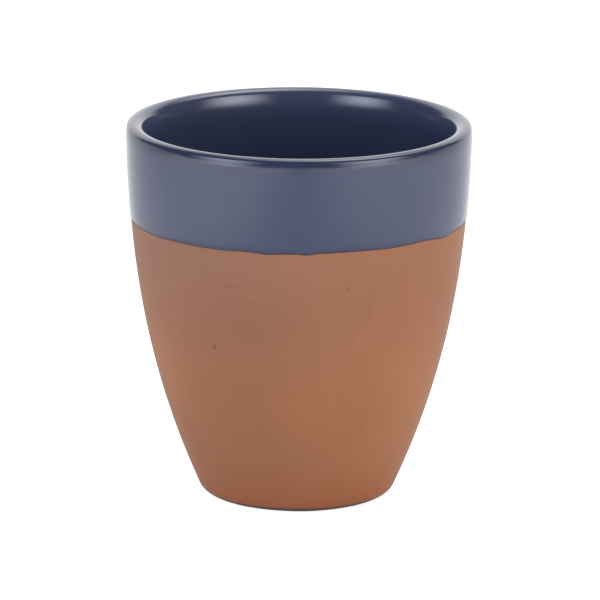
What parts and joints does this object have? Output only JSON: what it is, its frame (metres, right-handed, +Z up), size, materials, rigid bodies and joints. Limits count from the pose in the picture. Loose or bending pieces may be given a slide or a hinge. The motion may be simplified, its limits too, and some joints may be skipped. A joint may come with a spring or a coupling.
{
  "type": "espresso cup",
  "caption": "Small tapering terracotta cup without a handle, lined and rim-dipped in navy glaze, for espresso and other short drinks.",
  "frame": {"origin": "centre of the foot ring, on the surface that the cup stands on", "axes": "+Z up along the axis of the cup, +X to the right and +Y away from the viewer of the picture"},
  "size_m": [0.0598, 0.0598, 0.0655],
  "materials": {
    "terracotta": "bare, matt, fine grained",
    "navy_lining": "smooth semi-gloss glaze",
    "navy_dip": "smooth semi-gloss glaze"
  },
  "bodies": {
    "root": {"clay_body": "terracotta", "lining_glaze": "navy_lining", "dipped_band_glaze": "navy_dip"}
  },
  "joints": []
}
